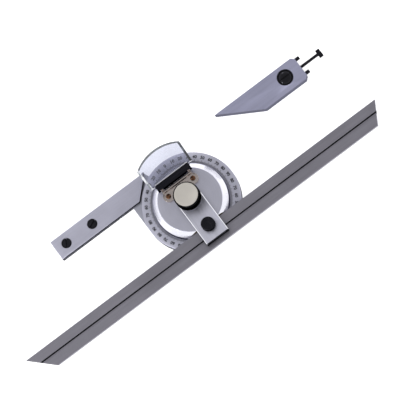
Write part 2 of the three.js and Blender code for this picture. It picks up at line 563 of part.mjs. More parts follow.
PIN.y.forEach((y, i) => piece(`attachment_pin_${i + 1}`, bar(PIN.r, ...PIN.x, y, PIN.z), "blackOxide"));

const camBottom = CAM.recessFloor + RUN;
const stubPlace = small({ x: CAM.x, y: CAM.y + CAM_STUB.offset });
piece("cam_retaining_ring",
  ring(CAM_RING.innerR, CAM.recessR - RUN, CAM_RING.bottom + RUN, ATT_T, camPlace), "blackOxide");
const cam = turned([
  [0, camBottom], [CAM.shoulderR, camBottom], [CAM.shoulderR, CAM_RING.bottom],
  [CAM.domeR, CAM_RING.bottom], ...CAM_DOME, [0, CAM.top]], camPlace)
  .add(rod(CAM_STUB.r, CAM_STUB.bottom, camBottom + LAP, stubPlace))
  .subtract(block([CAM.x - CAM_SLOT.reach, CAM.y - CAM_SLOT.halfW, CAM.top - CAM_SLOT.depth],
    [CAM.x + CAM_SLOT.reach, CAM.y + CAM_SLOT.halfW, CAM.top + OVER]));
piece("cam_screw", cam, "blackOxide");

// The bolt's shank has a notch across its top, where the cam's stub sits.
const bolt = bar(BOLT.r, BOLT.left, BOLT.right - LAP, CAM.y, BOLT.z)
  .add(block([BOLT.right - BOLT.headT, CAM.y - BOLT.headHalfW, BOLT.z - BOLT.headHalfH],
    [BOLT.right, CAM.y + BOLT.headHalfW, BOLT.z + BOLT.headHalfH]))
  .subtract(block([CAM.x - BOLT_NOTCH.half, CAM.y - BOLT.r - OVER, BOLT_NOTCH.floor],
    [CAM.x + BOLT_NOTCH.half, CAM.y + BOLT.r + OVER, BOLT.z + BOLT.r + OVER]));
piece("attachment_bolt", bolt, "blackOxide");

export default tool;
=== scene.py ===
"""The looks of a universal bevel protractor with its acute-angle attachment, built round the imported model."""
import math

import bmesh
import bpy
import numpy as np
from mathutils import Matrix, Vector


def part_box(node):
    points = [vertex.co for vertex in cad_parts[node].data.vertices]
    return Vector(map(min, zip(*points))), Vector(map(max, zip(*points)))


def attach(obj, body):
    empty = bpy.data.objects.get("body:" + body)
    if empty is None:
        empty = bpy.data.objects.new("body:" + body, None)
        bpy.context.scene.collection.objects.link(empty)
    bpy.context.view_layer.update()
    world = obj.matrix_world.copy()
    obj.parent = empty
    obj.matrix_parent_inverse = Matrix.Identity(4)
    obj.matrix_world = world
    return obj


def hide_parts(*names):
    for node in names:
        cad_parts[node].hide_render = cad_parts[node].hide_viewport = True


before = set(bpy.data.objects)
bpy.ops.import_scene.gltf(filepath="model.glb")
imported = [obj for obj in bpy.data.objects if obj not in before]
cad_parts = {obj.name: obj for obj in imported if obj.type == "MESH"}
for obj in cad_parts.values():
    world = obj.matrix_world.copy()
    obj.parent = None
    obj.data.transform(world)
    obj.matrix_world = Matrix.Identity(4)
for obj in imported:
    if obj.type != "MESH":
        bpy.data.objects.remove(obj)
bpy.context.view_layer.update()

mm = 0.001

# ---------------------------------------------------------------- camera
# A long lens looks almost straight down on the tool, leaning 16 degrees towards the blade's side,
# and turned so that the blade runs up to the right.
LEAN = math.radians(16.0)
TURN = math.radians(36.86)
LOOK_AT = Vector((5.4, -2.95, 6.0)) * mm
DISTANCE = 2.0
VIEW_WIDTH = 276.4 * mm
SENSOR = 36.0

across = Vector((1, 0, 0))
upward = Vector((0, math.cos(LEAN), math.sin(LEAN)))
towards = Vector((0, -math.sin(LEAN), math.cos(LEAN)))
right = across * math.cos(TURN) - upward * math.sin(TURN)
up = across * math.sin(TURN) + upward * math.cos(TURN)
camera_data = bpy.data.cameras.new("camera")
camera_data.sensor_width = SENSOR
camera_data.lens = SENSOR * DISTANCE / VIEW_WIDTH
camera_data.clip_end = 20.0
camera = bpy.data.objects.new("camera", camera_data)
bpy.context.scene.collection.objects.link(camera)
camera.matrix_world = (Matrix.Translation(LOOK_AT + towards * DISTANCE)
                       @ Matrix((right, up, towards)).transposed().to_4x4())
bpy.context.scene.camera = camera
bpy.context.scene.view_settings.view_transform = "Standard"

# ---------------------------------------------------------------- floor and light
# The floor is a white light table, so the tool stands free of shadows. The room is a light tent: grey
# above, where the flat steel tops look, and bright all round near the horizon, which gives the polished
# rims their white bands.


def linear(code, alpha=1.0):
    """An sRGB hex colour as linear red, green, blue and alpha."""
    channels = np.array([int(code[i:i + 2], 16) for i in (1, 3, 5)]) / 255.0
    curved = np.where(channels <= 0.04045, channels / 12.92, ((channels + 0.055) / 1.055) ** 2.4)
    return (*curved.tolist(), alpha)


def node(tree, kind, props=(), inputs=()):
    """Adds one node: props are its settings, inputs its sockets' values or the sockets that feed them."""
    made = tree.nodes.new(kind)
    for name, value in dict(props).items():
        setattr(made, name, value)
    for key, value in dict(inputs).items():
        if isinstance(value, bpy.types.NodeSocket):
            tree.links.new(value, made.inputs[key])
        else:
            made.inputs[key].default_value = value
    return made


def new_material(name):
    """A material, with its node tree, its shader and the coordinates of the piece that it is on."""
    made = bpy.data.materials.new(name)
    made.use_nodes = True
    tree = made.node_tree
    return made, tree, tree.nodes["Principled BSDF"], node(tree, "ShaderNodeTexCoord").outputs["Object"]


def feed(tree, shader, sources):
    """Joins each source to the shader's input of that name."""
    for key, source in sources.items():
        tree.links.new(source, shader.inputs[key])


def grid_faces(rows, columns, wrap):
    """Quads between neighbouring points of a grid; wrap joins the last column to the first."""
    row = np.arange(rows - 1)[:, None]
    column = np.arange(columns if wrap else columns - 1)[None, :]
    after = (column + 1) % columns
    corners = [row * columns + column, row * columns + after,
               (row + 1) * columns + after, (row + 1) * columns + column]
    return np.stack(corners, -1).reshape(-1, 4)


def finish_mesh(name, points, faces, material, sharp_deg=35.0):
    """A mesh object of points and faces: equal points are welded, and only edges past sharp_deg are sharp."""
    mesh = bpy.data.meshes.new(name)
    mesh.from_pydata(np.asarray(points).reshape(-1, 3).tolist(), [], [list(map(int, f)) for f in faces])
    made = bpy.data.objects.new(name, mesh)
    bpy.context.scene.collection.objects.link(made)
    weld(mesh)
    mesh.shade_smooth()
    mesh.set_sharp_from_angle(angle=math.radians(sharp_deg))
    if material:
        mesh.materials.append(material)
    return made


def weld(mesh, reach=1e-7):
    """Merges points that lie on each other, which closes poles and seams, and drops edges with no face."""
    work = bmesh.new()
    work.from_mesh(mesh)
    bmesh.ops.remove_doubles(work, verts=work.verts, dist=reach)
    loose = [edge for edge in work.edges if not edge.link_faces]
    bmesh.ops.delete(work, geom=loose, context="EDGES")
    work.to_mesh(mesh)
    work.free()


board, board_tree, board_shader, board_place = new_material("matt_white_board")
board_grain = node(board_tree, "ShaderNodeTexNoise", {}, {
    "Vector": board_place, "Scale": 900.0, "Detail": 3.0})
board_bump = node(board_tree, "ShaderNodeBump", {}, {
    "Strength": 0.05, "Distance": 0.2 * mm, "Height": board_grain.outputs["Fac"]})
feed(board_tree, board_shader, {"Normal": board_bump.outputs["Normal"]})
board_shader.inputs["Base Color"].default_value = linear("#F6F6F6")
board_shader.inputs["Roughness"].default_value = 0.85
board_shader.inputs["Emission Color"].default_value = linear("#FFFFFF")
board_shader.inputs["Emission Strength"].default_value = 0.75
FLOOR_R = 6.0
FLOOR_DROP = 0.05 * mm
FLOOR_CORNERS = 64
floor_angle = np.linspace(0, 2 * np.pi, FLOOR_CORNERS, endpoint=False)
floor_points = np.stack([FLOOR_R * np.cos(floor_angle), FLOOR_R * np.sin(floor_angle),
                         np.full(FLOOR_CORNERS, -FLOOR_DROP)], -1)
floor = finish_mesh("floor", floor_points, [range(FLOOR_CORNERS)], board)

world = bpy.data.worlds.new("light_tent")
bpy.context.scene.world = world
world.use_nodes = True
tent = world.node_tree
tent_height = node(tent, "ShaderNodeSeparateXYZ", {}, {
    "Vector": node(tent, "ShaderNodeTexCoord").outputs["Generated"]}).outputs["Z"]
tent_ramp = node(tent, "ShaderNodeValToRGB", {}, {"Fac": tent_height})
TENT = [(0.0, 1.30), (0.25, 1.20), (0.62, 0.80), (0.90, 0.52), (1.0, 0.50)]  # height, brightness
TENT_COOL = 1.015  # how much stronger the cloth's blue is
for place, level in TENT[1:-1]:
    tent_ramp.color_ramp.elements.new(place)
for element, (place, level) in zip(tent_ramp.color_ramp.elements, TENT):
    element.position = place
    element.color = (level, level, level * TENT_COOL, 1.0)
tent.links.new(tent_ramp.outputs["Color"], tent.nodes["Background"].inputs["Color"])
tent.nodes["Background"].inputs["Strength"].default_value = 1.0


def softbox(name, place, size, radiance):
    """A square lamp at place that faces the tool; its power follows from how bright its face is."""
    data = bpy.data.lights.new(name, "AREA")
    data.size = size
    data.energy = radiance * math.pi * size ** 2
    lamp = bpy.data.objects.new(name, data)
    bpy.context.scene.collection.objects.link(lamp)
    lamp.location = place
    lamp.rotation_euler = (-Vector(place)).to_track_quat("-Z", "Y").to_euler()


# A broad faint lamp brightens the tops towards the stock, and two small ones put glints on round edges.
softbox("fill_lamp", (-0.30, 0.20, 0.72), 0.26, 0.35)
softbox("left_glint", (-0.80, -0.15, 0.75), 0.20, 16.0)
softbox("far_glint", (0.25, 0.95, 0.70), 0.16, 8.0)

# ---------------------------------------------------------------- base plate and stock bar
# The base is one hardened steel plate, satin chromed: a disc with a web and a tongue. The stock bar lies
# on the tongue, ground on its long edges, and is held by countersunk screws.


def offset(outline, inset):
    """The closed outline moved inwards by inset, with mitred corners; the outline runs anticlockwise."""
    ahead = np.roll(outline, -1, 0) - outline
    ahead /= np.linalg.norm(ahead, axis=1, keepdims=True)
    behind = np.roll(ahead, 1, 0)
    normal_a = np.stack([-ahead[:, 1], ahead[:, 0]], -1)
    normal_b = np.stack([-behind[:, 1], behind[:, 0]], -1)
    miter = normal_a + normal_b
    miter /= np.sum(miter * normal_a, axis=1, keepdims=True)
    return outline + miter * inset


def plate(name, outline, low, high, edge, material, steps=3):
    """A flat plate with rounded edges: its outline goes up the wall, and at each height it is inset by a
    quarter circle of radius edge, so a point is a function of its place on the outline and of that angle."""
    outline = np.asarray(outline, float)
    turn = np.linspace(0, np.pi / 2, steps + 1)
    inset = np.concatenate([edge * (1 - np.sin(turn)), edge * (1 - np.cos(turn))])
    height = np.concatenate([low + edge * (1 - np.cos(turn)), high - edge * (1 - np.sin(turn))])
    rings = [np.column_stack([offset(outline, i), np.full(len(outline), z)]) for i, z in zip(inset, height)]
    count = len(outline)
    faces = grid_faces(len(rings), count, True).tolist()
    last = (len(rings) - 1) * count
    faces += [list(range(count - 1, -1, -1)), list(range(last, last + count))]
    return finish_mesh(name, np.stack(rings), faces, material)


def turned(name, profile, material, centre=(0.0, 0.0), steps=96, sharp_deg=35.0):
    """A lathe-turned piece: profile points of radius and height, up the outside, carried round the centre."""
    profile = np.asarray(profile, float)
    angle = np.linspace(0, 2 * np.pi, steps, endpoint=False)
    radius, height = profile[:, :1], profile[:, 1:]
    points = np.stack([centre[0] + radius * np.cos(angle), centre[1] + radius * np.sin(angle),
                       height + 0 * angle], -1)
    return finish_mesh(name, points, grid_faces(len(profile), steps, True), material, sharp_deg)


def cut(piece, *cutters, join=False):
    """Takes the cutters away from the piece, or joins them to it, and removes them."""
    for cutter in cutters:
        change = piece.modifiers.new("cut", "BOOLEAN")
        change.operation = "UNION" if join else "DIFFERENCE"
        change.solver = "EXACT"
        change.object = cutter
        ready = piece.evaluated_get(bpy.context.evaluated_depsgraph_get())
        mesh = bpy.data.meshes.new_from_object(ready)
        piece.modifiers.clear()
        piece.data = mesh
        bpy.data.objects.remove(cutter)
    weld(piece.data, 1e-6)
    piece.data.shade_smooth()
    piece.data.set_sharp_from_angle(angle=math.radians(35.0))


KEEN = 1e-6  # the edge of a cutter, too small to see


def box(name, low, high, edge=KEEN):
    """A block between two corners, as a plate; edge rounds it."""
    (x0, y0, z0), (x1, y1, z1) = low, high
    return plate(name, [(x0, y0), (x1, y0), (x1, y1), (x0, y1)], z0, z1, edge, None, 1)


def place_piece(piece, body, slot, *nodes):
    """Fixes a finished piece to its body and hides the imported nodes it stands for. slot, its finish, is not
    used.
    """
    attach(piece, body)
    if nodes:
        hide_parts(*nodes)


def spread(tree, source, from_low, from_high, to_low, to_high):
    """Stretches one range of a value over another."""
    return node(tree, "ShaderNodeMapRange", {}, {
        "Value": source, "From Min": from_low, "From Max": from_high,
        "To Min": to_low, "To Max": to_high}).outputs[0]


# Satin hard chrome over ground steel: mid grey with a cool tint, a soft wide highlight, fine grinding lines
# along X. Real lines are about 0.05 mm apart; they are drawn about 0.6 mm wide so that they show. Each
# noise is taken between 0.3 and 0.7, where nearly all of its values lie.
def satin_steel(name, tint, rough, lines=(40.0, 1500.0, 1500.0), depth=0.012, painted_wall_shade=0.0):
    """Ground steel: noise stretched along the grinding, for roughness, tone and bump. The last argument
    darkens the faces that stand upright, in colour and in the tint of their shine: painted shade on the walls."""
    made, tree, shader, place = new_material(name)
    along = node(tree, "ShaderNodeMapping", {}, {"Vector": place, "Scale": lines}).outputs["Vector"]
    grain = node(tree, "ShaderNodeTexNoise", {}, {
        "Vector": along, "Scale": 1.0, "Detail": 4.0, "Roughness": 0.65}).outputs["Fac"]
    cloud = node(tree, "ShaderNodeTexNoise", {}, {
        "Vector": place, "Scale": 55.0, "Detail": 3.0}).outputs["Fac"]
    rougher = spread(tree, grain, 0.3, 0.7, rough - 0.05, rough + 0.07)
    tone = spread(tree, cloud, 0.3, 0.7, 0.94, 1.05)
    streak = spread(tree, grain, 0.3, 0.7, 0.95, 1.04)
    both = node(tree, "ShaderNodeMath", {"operation": "MULTIPLY"}, {0: tone, 1: streak})
    colour = node(tree, "ShaderNodeVectorMath", {"operation": "SCALE"}, {
        0: linear(tint)[:3], "Scale": both.outputs[0]}).outputs[0]
    # Painted shade: the faces that stand upright are darkened.
    if painted_wall_shade:
        facing = node(tree, "ShaderNodeSeparateXYZ", {}, {
            "Vector": node(tree, "ShaderNodeNewGeometry").outputs["True Normal"]}).outputs["Z"]
        upright = node(tree, "ShaderNodeMath", {"operation": "ABSOLUTE"}, {0: facing})
        wall = spread(tree, upright.outputs[0], 0.1, 0.5, 1.0 - painted_wall_shade, 1.0)
        colour = node(tree, "ShaderNodeVectorMath", {"operation": "SCALE"}, {
            0: colour, "Scale": wall}).outputs[0]
        feed(tree, shader, {"Specular Tint": wall})
    bump = node(tree, "ShaderNodeBump", {}, {"Strength": 0.35, "Distance": depth * mm, "Height": grain})
    feed(tree, shader, {"Base Color": colour, "Roughness": rougher, "Normal": bump.outputs[0]})
    shader.inputs["Metallic"].default_value = 1.0
    return made


# The upright walls of the base plate and of the stock bar are darkened, as painted shade.
base_steel = satin_steel("satin_chromed_base", "#B8B9C6", 0.36, painted_wall_shade=0.85)
stock_steel = satin_steel("satin_chromed_stock", "#CECEDE", 0.36, painted_wall_shade=0.95)

plate_low, plate_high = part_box("base_plate")
bar_low, bar_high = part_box("stock_bar")
ring_low, ring_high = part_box("scale_ring")
DISC_R = plate_high.x
# The bar's end is cut at 45 degrees; the bar's box holds where that cut meets its far edge.
cut_line = bar_high.y - bar_high.x


def arc(radius, start, stop, steps, centre=(0.0, 0.0)):
    """Points on a circle from one angle in degrees to another, both included."""
    angle = np.radians(np.linspace(start, stop, steps + 1))
    return np.stack([centre[0] + radius * np.cos(angle), centre[1] + radius * np.sin(angle)], -1)


# The outline leaves the disc on its far side, at the foot of a straight line to the tongue's corner.
corner = np.array([bar_high.x, bar_high.y])
leave = math.degrees(math.atan2(corner[1], corner[0]))
plate_outline = np.concatenate([
    arc(DISC_R, -180, leave, 150),
    [corner, (bar_low.x, bar_high.y), (bar_low.x, bar_low.y), (-DISC_R, bar_low.y)]])
base = plate("base_disc", plate_outline, plate_low.z, plate_high.z, 0.25 * mm, base_steel)


def round_node(name):
    """The middle in plan, the radius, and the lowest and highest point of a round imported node."""
    low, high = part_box(name)
    return ((low.x + high.x) / 2, (low.y + high.y) / 2), (high.x - low.x) / 2, low.z, high.z


SCREW_GAP = 0.06 * mm
for name in ("ring_screw_1", "ring_screw_2", "ring_screw_3"):
    middle, head_r, screw_low, _ = round_node(name)
    head_r += SCREW_GAP
    shank_r = 0.55 * head_r
    cut(base, turned("sink", [
        (0, screw_low - mm), (head_r, screw_low - mm), (head_r, screw_low), (shank_r, screw_low + mm),
        (shank_r, screw_low + 2 * mm), (0, screw_low + 2 * mm)], None, middle, 32))
place_piece(base, "base", "satin_steel", "base_plate")

stock_outline = [(bar_low.x, bar_low.y), (bar_low.y - cut_line, bar_low.y),
                 (bar_high.x, bar_high.y), (bar_low.x, bar_high.y)]
stock = plate("stock", stock_outline, bar_low.z, bar_high.z, 0.3 * mm, stock_steel)
SINK = 0.12 * mm  # the countersinks are a little wider than the heads
for name in ("stock_screw_1", "stock_screw_2"):
    middle, head_r, _, screw_top = round_node(name)
    head_r += SINK
    cut(stock, turned("sink", [
        (0, screw_top - head_r), (0.1 * head_r, screw_top - head_r), (head_r, screw_top - 0.2 * mm),
        (head_r, screw_top + mm), (0, screw_top + mm)], None, middle, 48))
place_piece(stock, "base", "satin_steel", "stock_bar")

# ---------------------------------------------------------------- black screws
# Steel screws blackened in hot oxide and oiled: nearly black, with a soft sheen and worn grey crests.


def black_oxide(name, tint="#2B2B30", rough=0.36, wear_and_sheen=0.4, lines=(1.0, 1.0, 1.0)):
    """Black oxide on steel: a very dark metal with noise in its roughness and paler rubbed spots. lines
    stretches that noise along the marks of a drawn bar; there the paler streaks are also painted highlights."""
    made, tree, shader, place = new_material(name)
    along = node(tree, "ShaderNodeMapping", {}, {"Vector": place, "Scale": lines}).outputs["Vector"]
    grit = node(tree, "ShaderNodeTexNoise", {}, {
        "Vector": along, "Scale": 1400.0, "Detail": 4.0}).outputs["Fac"]
    rub_and_sheen = node(tree, "ShaderNodeTexNoise", {}, {
        "Vector": along, "Scale": 350.0, "Detail": 5.0, "Roughness": 0.7}).outputs["Fac"]
    colour = node(tree, "ShaderNodeMix", {"data_type": "RGBA"}, {
        "Factor": spread(tree, rub_and_sheen, 0.55, 0.78, 0.0, wear_and_sheen), 6: linear(tint), 7: linear("#505054")})
    rougher = spread(tree, grit, 0.3, 0.7, rough - 0.08, rough + 0.1)
    bump = node(tree, "ShaderNodeBump", {}, {"Strength": 0.2, "Distance": 0.01 * mm, "Height": grit})
    feed(tree, shader, {"Base Color": colour.outputs[2], "Roughness": rougher, "Normal": bump.outputs[0]})
    shader.inputs["Metallic"].default_value = 1.0
    shader.inputs["Specular Tint"].default_value = linear("#4A4A50")
    return made


oxide = black_oxide("black_oxide_steel")


def slot_cutter(centre, top, length, width, depth, angle_deg):
    """A block that cuts a screwdriver slot into a head whose top is at that height."""
    turn = math.radians(angle_deg)
    along = np.array([math.cos(turn), math.sin(turn)]) * length / 2
    aside = np.array([-math.sin(turn), math.cos(turn)]) * width / 2
    middle = np.array(centre)
    corners = [middle - along - aside, middle + along - aside, middle + along + aside, middle - along + aside]
    return plate("slot", corners, top - depth, top + mm, KEEN, None, 1)


def flush_screw(name, body, slot_angle):
    """A countersunk screw with a slotted head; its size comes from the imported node. The head's crown falls
    with the square of the radius."""
    middle, head_r, bottom, top = round_node(name)
    CROWN = 0.12 * mm
    out = np.linspace(1.0, 0.0, 7)[:, None] * (head_r - 0.15 * mm)
    cap = np.hstack([out, top - CROWN * (out / head_r) ** 2])
    shank = [(0, bottom), (0.5 * head_r, bottom),
             (0.5 * head_r, top - 0.6 * head_r), (head_r, top - 0.25 * mm)]
    made = turned(name + "_head", np.vstack([shank, cap]), oxide, middle, 48)
    cut(made, slot_cutter(middle, top, length=3 * head_r, width=0.2 * head_r, depth=0.28 * head_r,
                          angle_deg=slot_angle))
    place_piece(made, body, "black_oxide", name)


flush_screw("stock_screw_1", "base", 62.0)
flush_screw("stock_screw_2", "base", 24.0)

# ---------------------------------------------------------------- graduated ring
# A satin chromed ring with etched and black-filled degree lines at its inner edge and a number every
# ten degrees, 0 to 90 and back, four times round.


def scale_chrome(name, tint, rough):
    """Satin chrome: a fine vapour-blasted grain of about 0.1 mm, and a faint cloud in its tone and shine."""
    made, tree, shader, place = new_material(name)
    grain = node(tree, "ShaderNodeTexNoise", {}, {
        "Vector": place, "Scale": 2600.0, "Detail": 3.0}).outputs["Fac"]
    cloud = node(tree, "ShaderNodeTexNoise", {}, {
        "Vector": place, "Scale": 90.0, "Detail": 4.0}).outputs["Fac"]
    colour = node(tree, "ShaderNodeVectorMath", {"operation": "SCALE"}, {
        0: linear(tint)[:3], "Scale": spread(tree, cloud, 0.3, 0.7, 0.93, 1.05)})
    rougher = spread(tree, cloud, 0.3, 0.7, rough - 0.04, rough + 0.06)
    bump = node(tree, "ShaderNodeBump", {}, {"Strength": 0.25, "Distance": 0.01 * mm, "Height": grain})
    feed(tree, shader, {"Base Color": colour.outputs[0], "Roughness": rougher, "Normal": bump.outputs[0]})
    shader.inputs["Metallic"].default_value = 1.0
    return made


chrome_scale = scale_chrome("satin_chrome_scale", "#BDBDCB", 0.42)
RING_OUT = ring_high.x
RING_IN = 26.95 * mm
CHAMFER = 0.4 * mm
ring_profile = [(RING_IN, ring_low.z), (RING_OUT, ring_low.z), (RING_OUT, ring_high.z - CHAMFER),
                (RING_OUT - 0.4 * CHAMFER, ring_high.z - 0.4 * CHAMFER), (RING_OUT - CHAMFER, ring_high.z),
                (RING_IN + CHAMFER, ring_high.z), (RING_IN, ring_high.z - CHAMFER), (RING_IN, ring_low.z)]
ring = turned("graduated_ring", ring_profile, chrome_scale, steps=288)
# Only the ring's top and chamfers are chromed; its walls take the base's steel, whose upright faces are
# darkened as painted shade.
ring.data.materials.append(base_steel)
for face in ring.data.polygons:
    if abs(face.normal.z) < 0.3:
        face.material_index = 1
place_piece(ring, "base", "chromed_scale", "scale_ring")

# Lines and numbers are filled with matt black enamel, a little uneven in its shine.
black_fill, fill_tree, fill_shader, fill_place = new_material("black_filled_etching")
fill_noise = node(fill_tree, "ShaderNodeTexNoise", {}, {"Vector": fill_place, "Scale": 1800.0})
feed(fill_tree, fill_shader, {"Roughness": spread(fill_tree, fill_noise.outputs["Fac"], 0.0, 1.0, 0.45, 0.7)})
fill_shader.inputs["Base Color"].default_value = linear("#1D1D26")


def ticks(name, angles_deg, starts, ends, width, top, depth=0.06 * mm):
    """Filled lines that point at the axis: each is a small block from one radius to another at its angle,
    all worked out as one array of eight corners for each line."""
    angle = np.radians(np.asarray(angles_deg, float))[:, None]
    side = np.array([-1, 1, 1, -1, -1, 1, 1, -1]) * width / 2
    far = np.array([0, 0, 1, 1, 0, 0, 1, 1])
    level = np.array([0, 0, 0, 0, 1, 1, 1, 1])
    starts, ends = np.broadcast_arrays(np.asarray(starts, float), np.asarray(ends, float))
    radius = starts.reshape(-1, 1) * (1 - far) + ends.reshape(-1, 1) * far
    x = radius * np.cos(angle) + side * np.sin(angle)
    y = radius * np.sin(angle) - side * np.cos(angle)
    z = top - depth * (1 - level) + 0 * x
    points = np.stack(np.broadcast_arrays(x, y, z), -1)
    block = np.array([(0, 3, 2, 1), (4, 5, 6, 7), (0, 1, 5, 4), (1, 2, 6, 5), (2, 3, 7, 6), (3, 0, 4, 7)])
    faces = (np.arange(len(points))[:, None, None] * 8 + block).reshape(-1, 4)
    return finish_mesh(name, points, faces, black_fill)


def numerals(name, marks, size, top, depth=0.05 * mm):
    """Numbers as raised fill: each mark is its text, radius and angle, with its foot towards the axis."""
    points, faces, count = [], [], 0
    for text, radius, angle in marks:
        curve = bpy.data.curves.new("mark", "FONT")
        curve.body = text
        curve.size = size
        curve.align_x, curve.align_y = "CENTER", "CENTER"
        curve.extrude = depth / 2
        curve.offset = size * 0.045  # a bolder stroke
        curve.resolution_u = 2
        letter = bpy.data.objects.new("mark", curve)
        bpy.context.scene.collection.objects.link(letter)
        mesh = bpy.data.meshes.new_from_object(letter.evaluated_get(bpy.context.evaluated_depsgraph_get()))
        a = math.radians(angle)
        mesh.transform(Matrix.Translation((radius * math.cos(a), radius * math.sin(a), top - depth / 2))
                       @ Matrix.Rotation(a - math.pi / 2, 4, "Z"))
        bpy.data.objects.remove(letter)
        co = np.zeros(len(mesh.vertices) * 3)
        mesh.vertices.foreach_get("co", co)
        points.append(co.reshape(-1, 3))
        faces += [[v + count for v in polygon.vertices] for polygon in mesh.polygons]
        count += len(mesh.vertices)
    return finish_mesh(name, np.concatenate(points), faces, black_fill, 30.0)


PROUD = 0.012 * mm  # the fill stands just clear of the chrome
degrees = np.arange(360)
length = np.where(degrees % 10 == 0, 2.5, np.where(degrees % 5 == 0, 2.0, 1.45)) * mm
LINE_FOOT = RING_IN + CHAMFER
lines = ticks("ring_lines", degrees, LINE_FOOT + 0.05 * mm, LINE_FOOT + length,
              width=0.26 * mm, top=ring_high.z + PROUD)
place_piece(lines, "base", "chromed_scale")
NUMBER_R, NUMBER_SIZE = 31.7 * mm, 3.0 * mm
quarter = [0, 10, 20, 30, 40, 50, 60, 70, 80, 90, 80, 70, 60, 50, 40, 30, 20, 10]
ring_marks = [(str(quarter[i % 18]), NUMBER_R, 90 - 10 * i) for i in range(36)]
numbers = numerals("ring_numbers", ring_marks, NUMBER_SIZE, ring_high.z + PROUD)
place_piece(numbers, "base", "chromed_scale")

# ---------------------------------------------------------------- turret
# Turned from one piece of steel: a flat top faced in the lathe, a polished conical rim, a flat along the
# blade with a seat below it, and a step for the vernier plate.


def turned_steel(name, tint, rough, anisotropic, rings_mm=0.5):
    """Steel faced in a lathe: fine rings round the axis from the distance to it, and a highlight that
    stretches across the rings, because the tangent runs round the axis."""
    made, tree, shader, place = new_material(name)
    flat = node(tree, "ShaderNodeVectorMath", {"operation": "MULTIPLY"}, {0: place, 1: (1.0, 1.0, 0.0)})
    reach = node(tree, "ShaderNodeVectorMath", {"operation": "LENGTH"}, {0: flat.outputs[0]})
    rings = node(tree, "ShaderNodeTexNoise", {"noise_dimensions": "1D"}, {
        "W": reach.outputs["Value"], "Scale": 1000.0 / rings_mm, "Detail": 3.0}).outputs["Fac"]
    cloud = node(tree, "ShaderNodeTexNoise", {}, {
        "Vector": place, "Scale": 70.0, "Detail": 3.0}).outputs["Fac"]
    both = node(tree, "ShaderNodeMath", {"operation": "MULTIPLY"}, {
        0: spread(tree, rings, 0.3, 0.7, 0.965, 1.03), 1: spread(tree, cloud, 0.3, 0.7, 0.96, 1.04)})
    colour = node(tree, "ShaderNodeVectorMath", {"operation": "SCALE"}, {
        0: linear(tint)[:3], "Scale": both.outputs[0]})
    rougher = spread(tree, rings, 0.3, 0.7, rough - 0.03, rough + 0.05)
    around = node(tree, "ShaderNodeVectorMath", {"operation": "CROSS_PRODUCT"}, {
        0: (0.0, 0.0, 1.0), 1: flat.outputs[0]})
    tangent = node(tree, "ShaderNodeVectorMath", {"operation": "NORMALIZE"}, {0: around.outputs[0]})
    bump = node(tree, "ShaderNodeBump", {}, {"Strength": 0.25, "Distance": 0.004 * mm, "Height": rings})
    feed(tree, shader, {"Base Color": colour.outputs[0], "Roughness": rougher,
                        "Tangent": tangent.outputs[0], "Normal": bump.outputs[0]})
    shader.inputs["Metallic"].default_value = 1.0
    shader.inputs["Anisotropic"].default_value = anisotropic
    return made


faced_steel = turned_steel("lathe_faced_steel", "#CACAD8", 0.34, 0.5)
# Lapped steel: bright, nearly a mirror, with a faint cloud in its shine.
polished_steel = scale_chrome("lapped_steel", "#E6E6EE", 0.22)

turret_low, turret_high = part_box("turret")
blade_low, blade_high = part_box("blade")
TURRET_R = turret_high.x
CONE_LOW = 8.4 * mm
FLAT_R = 22.7 * mm
CONE_ROUND = 0.35 * mm
CONE_FOOT_R = TURRET_R - 0.1 * mm
GAP = 0.05 * mm
SEAT_TOP = blade_low.z - GAP
SEAT_BOTTOM = 6.5 * mm
SEAT_ROOT_Y = -22.0 * mm  # inside the turret
SEAT_HALF = 8.5 * mm
CHORD_Y = -20.9 * mm
BORE_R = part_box("turret_bush")[1].x + GAP
rise = turret_high.z - CONE_LOW
run = CONE_FOOT_R - FLAT_R
# The corner between flat and cone is rounded by a short blend from one slope to the other.
blend = np.linspace(0, 1, 5)[:, None]
cone_end = np.array([FLAT_R + CONE_ROUND * run / rise, turret_high.z - CONE_ROUND])
flat_start = np.array([FLAT_R - CONE_ROUND, turret_high.z])
knee = np.array([FLAT_R, turret_high.z])
corner_round = (1 - blend) ** 2 * cone_end + 2 * blend * (1 - blend) * knee + blend ** 2 * flat_start
turret_profile = np.vstack([
    [(BORE_R, turret_low.z), (TURRET_R, turret_low.z), (TURRET_R, CONE_LOW), (CONE_FOOT_R, CONE_LOW)],
    corner_round, [(BORE_R, turret_high.z), (BORE_R, turret_low.z)]])
turret = turned("turret_body", turret_profile, faced_steel, steps=288)
# The cone is lapped after facing.
turret.data.materials.append(polished_steel)
cone_top = turret_high.z - CONE_ROUND * 0.5
for face in turret.data.polygons:
    reach = math.hypot(face.center.x, face.center.y)
    if reach > FLAT_R - 0.2 * mm and CONE_LOW < face.center.z < cone_top:
        face.material_index = 1
vernier_low, vernier_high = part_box("vernier_plate")
VERNIER_IN = 22.95 * mm
VERNIER_HALF = 34.0  # degrees
step_half = VERNIER_HALF + 0.5
wedge = np.concatenate([arc(TURRET_R + mm, 90 - step_half, 90 + step_half, 40),
                        arc(VERNIER_IN - 0.1 * mm, 90 + step_half, 90 - step_half, 40)])
cut(turret, box("chord", (-TURRET_R, -TURRET_R - mm, SEAT_TOP), (TURRET_R, CHORD_Y, turret_high.z + mm)),
    plate("step", wedge, vernier_low.z, turret_high.z + mm, KEEN, None, 1))
seat = box("seat", (-SEAT_HALF, turret_low.y, SEAT_BOTTOM), (SEAT_HALF, SEAT_ROOT_Y, SEAT_TOP), 0.2 * mm)
cut(turret, seat, join=True)
place_piece(turret, "turret", "bright_steel", "turret")

